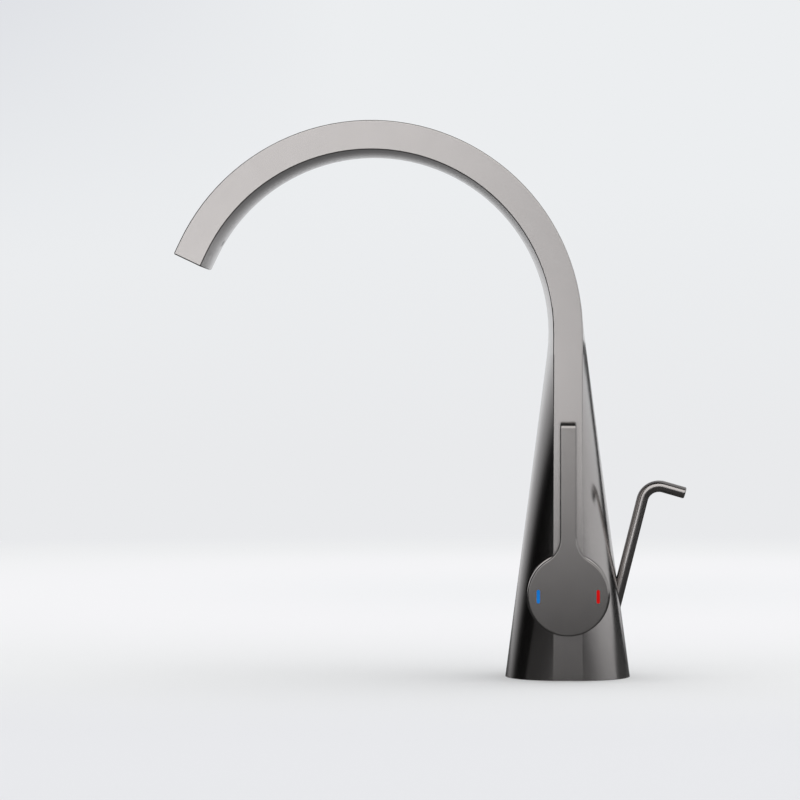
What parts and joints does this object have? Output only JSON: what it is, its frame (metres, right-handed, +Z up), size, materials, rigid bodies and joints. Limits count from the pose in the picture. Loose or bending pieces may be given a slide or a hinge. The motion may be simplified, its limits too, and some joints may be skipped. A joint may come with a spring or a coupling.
{
  "type": "basin mixer tap",
  "caption": "Tall basin mixer with a wide flat band spout that arches over from a round foot, a disc lever with an upright bar on its side and a bent lift rod for the waste.",
  "frame": {"origin": "centre of the round foot, on the deck's surface", "axes": "+Z up; the spout reaches over the basin towards -X; the lever is on the -Y side; the lift rod comes out on the +X side"},
  "size_m": [0.2204, 0.0637, 0.2399],
  "materials": {
    "gunmetal_body": "satin gunmetal PVD on cast brass",
    "gunmetal_lever": "satin gunmetal PVD on turned and milled brass",
    "gunmetal_rod": "satin gunmetal PVD on brass rod",
    "raw_brass": "machined, uncoated",
    "steel": "plain stainless steel",
    "dark_steel": "blackened",
    "cartridge_plastic": "moulded, off-white",
    "driver_plastic": "moulded, blue",
    "nozzle_plastic": "moulded, near black",
    "black_rubber": "matt",
    "hose_rubber": "smooth extruded",
    "ceramic": "lapped flat",
    "blue_enamel": "filled enamel",
    "red_enamel": "filled enamel"
  },
  "bodies": {
    "mixer_body": {"body_shell": "gunmetal_body", "waterway_core": "raw_brass", "core_screws": "steel", "base_seal": "black_rubber", "hose_nipple": "raw_brass", "spout_hose": "hose_rubber", "hose_ferrules": "steel", "outlet_nozzle": "nozzle_plastic", "outlet_seal": "black_rubber", "outlet_screen": "steel", "nozzle_grub_screw": "dark_steel", "cartridge_housing": "cartridge_plastic", "cartridge_base": "cartridge_plastic", "cartridge_port_seals": "black_rubber", "fixed_ceramic_disc": "ceramic", "cartridge_nut": "raw_brass", "valve_collar": "gunmetal_lever", "rod_guide_bush": "cartridge_plastic", "rod_seal": "black_rubber"},
    "temperature_carrier": {"spindle_carrier": "driver_plastic", "spindle_pivot_pin": "steel"},
    "mixing_slide": {"moving_ceramic_disc": "ceramic", "disc_driver": "driver_plastic"},
    "lever": {"lever_handle": "gunmetal_lever", "lever_grub_screw": "dark_steel", "cold_mark": "blue_enamel", "hot_mark": "red_enamel", "spindle": "raw_brass"},
    "rod": {"lift_rod": "gunmetal_rod"}
  },
  "joints": [
    {"name": "temperature_turn", "type": "hinge", "parent": "mixer_body", "child": "temperature_carrier", "pos_m": [0, -0.02, 0.0371], "axis": [0, -1, 0], "range_deg": [-45, 45]},
    {"name": "flow_tilt", "type": "hinge", "parent": "temperature_carrier", "child": "lever", "pos_m": [0, -0.02, 0.0371], "axis": [1, 0, 0], "range_deg": [0, 20]},
    {"name": "disc_slide", "type": "slide", "parent": "temperature_carrier", "child": "mixing_slide", "axis": [0, 0, 1], "range_m": [0, 0.0032]},
    {"name": "lift_rod_slide", "type": "slide", "parent": "mixer_body", "child": "rod", "axis": [0.2462, 0, 0.9692], "range_m": [0, 0.012]}
  ],
  "couplings": [
    {"joint": "disc_slide", "follows": "flow_tilt", "m_per_rad": 0.009}
  ]
}
